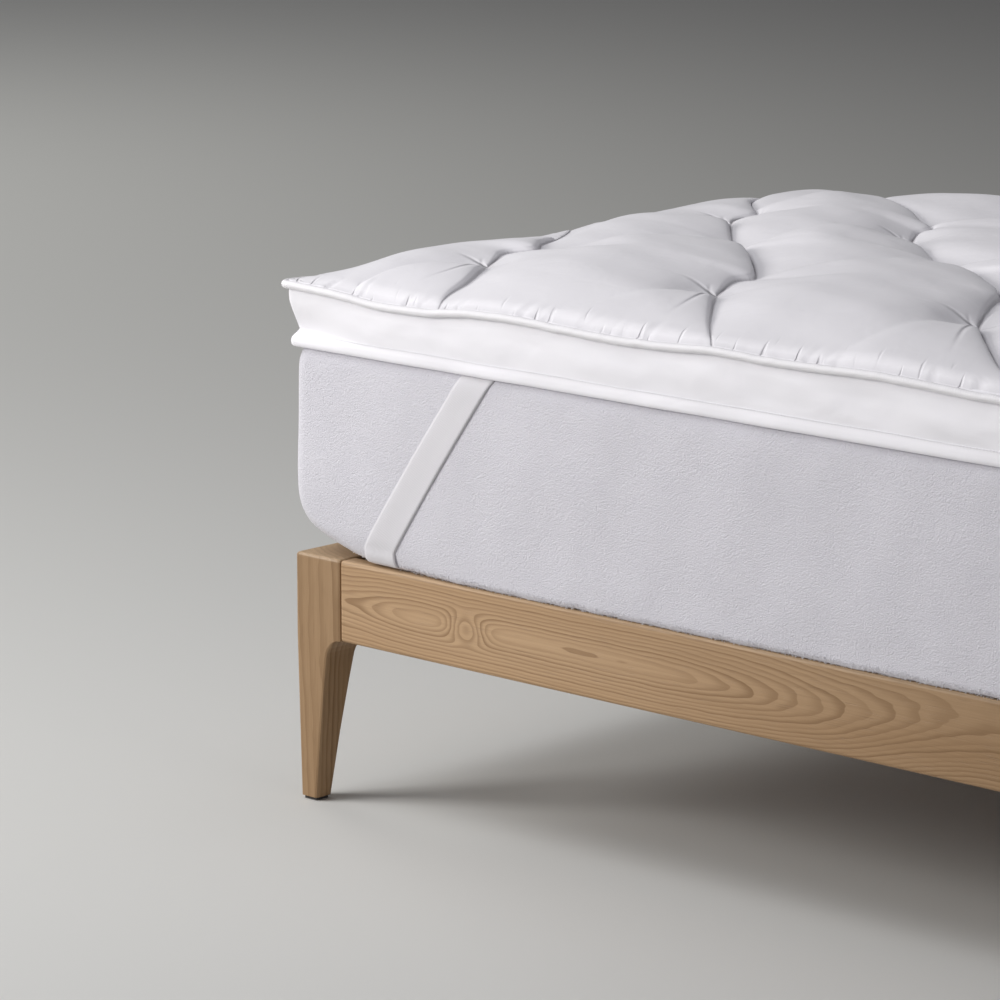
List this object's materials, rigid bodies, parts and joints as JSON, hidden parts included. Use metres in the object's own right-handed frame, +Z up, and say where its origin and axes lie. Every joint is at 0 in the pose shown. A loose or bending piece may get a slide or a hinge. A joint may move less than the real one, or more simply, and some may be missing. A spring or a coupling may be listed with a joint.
{
  "type": "mattress topper on a mattress and bed",
  "caption": "Quilted, filled mattress topper with a corded top edge, held by corner straps on a plain mattress and a slatted wooden bed.",
  "frame": {"origin": "on the floor under the middle of the bed", "axes": "+X along the bed, +Y across it, +Z up"},
  "size_m": [2.0268, 0.9268, 0.6729],
  "materials": {
    "cotton": "smooth white cotton, soft sheen",
    "piping_cloth": "smooth white cotton over cord",
    "elastic": "flat woven elastic, satin",
    "terry": "fine looped terry, pale grey",
    "wood": "light ash, matt oil",
    "felt": "dark felt"
  },
  "bodies": {
    "root": {"end_rail_foot": "wood", "end_rail_head": "wood", "foot_pad_foot_back": "felt", "foot_pad_foot_front": "felt", "foot_pad_head_back": "felt", "foot_pad_head_front": "felt", "ledger_back": "wood", "ledger_front": "wood", "mattress": "terry", "piping": "piping_cloth", "post_foot_back": "wood", "post_foot_front": "wood", "post_head_back": "wood", "post_head_front": "wood", "side_rail_back": "wood", "side_rail_front": "wood", "slat_01": "wood", "slat_02": "wood", "slat_03": "wood", "slat_04": "wood", "slat_05": "wood", "slat_06": "wood", "slat_07": "wood", "slat_08": "wood", "slat_09": "wood", "slat_10": "wood", "slat_11": "wood", "slat_12": "wood", "slat_13": "wood", "strap_foot_back": "elastic", "strap_foot_front": "elastic", "strap_head_back": "elastic", "strap_head_front": "elastic", "topper": "cotton"}
  },
  "joints": []
}
